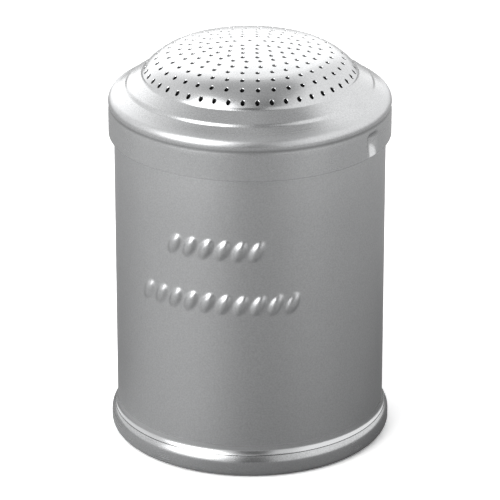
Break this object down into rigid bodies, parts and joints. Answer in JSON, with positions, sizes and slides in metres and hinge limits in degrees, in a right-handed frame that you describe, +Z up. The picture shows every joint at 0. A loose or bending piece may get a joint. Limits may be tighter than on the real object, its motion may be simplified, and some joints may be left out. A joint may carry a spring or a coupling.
{
  "type": "powder shaker with perforated dome lid",
  "caption": "Cylindrical aluminium shaker can with a rounded foot and a slip-on bayonet lid whose shallow dome is punched with rings of small holes for dusting powder.",
  "frame": {"origin": "centre of the ring that the foot stands on, at the bottom of the part", "axes": "+Z up along the axis of the can, -Y towards the viewer; one lid pip is 58.5 degrees to the right of -Y and the other is opposite"},
  "size_m": [0.072, 0.072, 0.1047],
  "materials": {
    "aluminium": "satin, fine turned"
  },
  "bodies": {
    "can": {"can_wall": "aluminium", "base_disc": "aluminium"},
    "lid": {"lid_shell": "aluminium", "sifter_dome": "aluminium"}
  },
  "joints": [
    {"name": "lid_lift", "type": "slide", "parent": "can", "child": "lid", "axis": [0, 0, 1], "range_m": [0, 0.04]}
  ]
}
